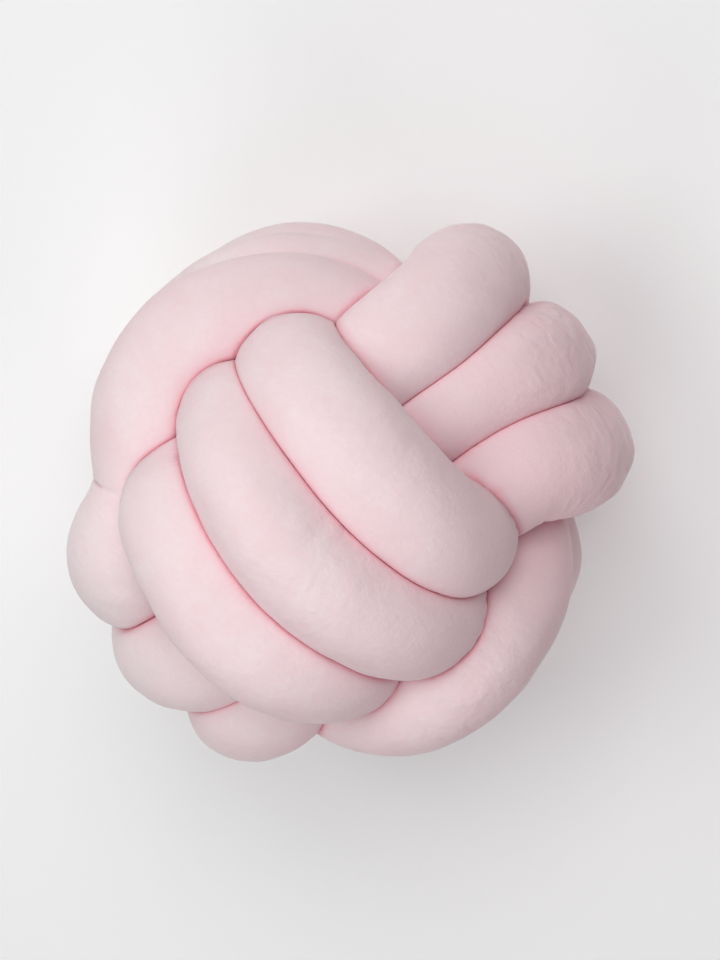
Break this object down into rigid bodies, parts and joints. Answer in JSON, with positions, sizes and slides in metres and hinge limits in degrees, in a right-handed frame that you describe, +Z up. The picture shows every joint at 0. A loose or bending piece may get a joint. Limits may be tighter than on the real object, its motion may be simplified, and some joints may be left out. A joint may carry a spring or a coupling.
{
  "type": "knot cushion",
  "caption": "Ball-shaped knot cushion tied from one long stuffed velour tube, three strands each way round, lying on its back.",
  "frame": {"origin": "bottom centre of the bounding box, on the surface the cushion lies on", "axes": "+X along the three strands of the front face, towards the hidden right-hand bend; +Y along the three strands of the rear end, away from the visible corner bend's end; +Z up, out of the front face"},
  "size_m": [0.3352, 0.3672, 0.3265],
  "materials": {
    "velour": "pale pink short-pile velour, soft sheen, pile brushed in patches, deeper pink in the creases"
  },
  "bodies": {
    "root": {"knot_tube": "velour"}
  },
  "joints": []
}
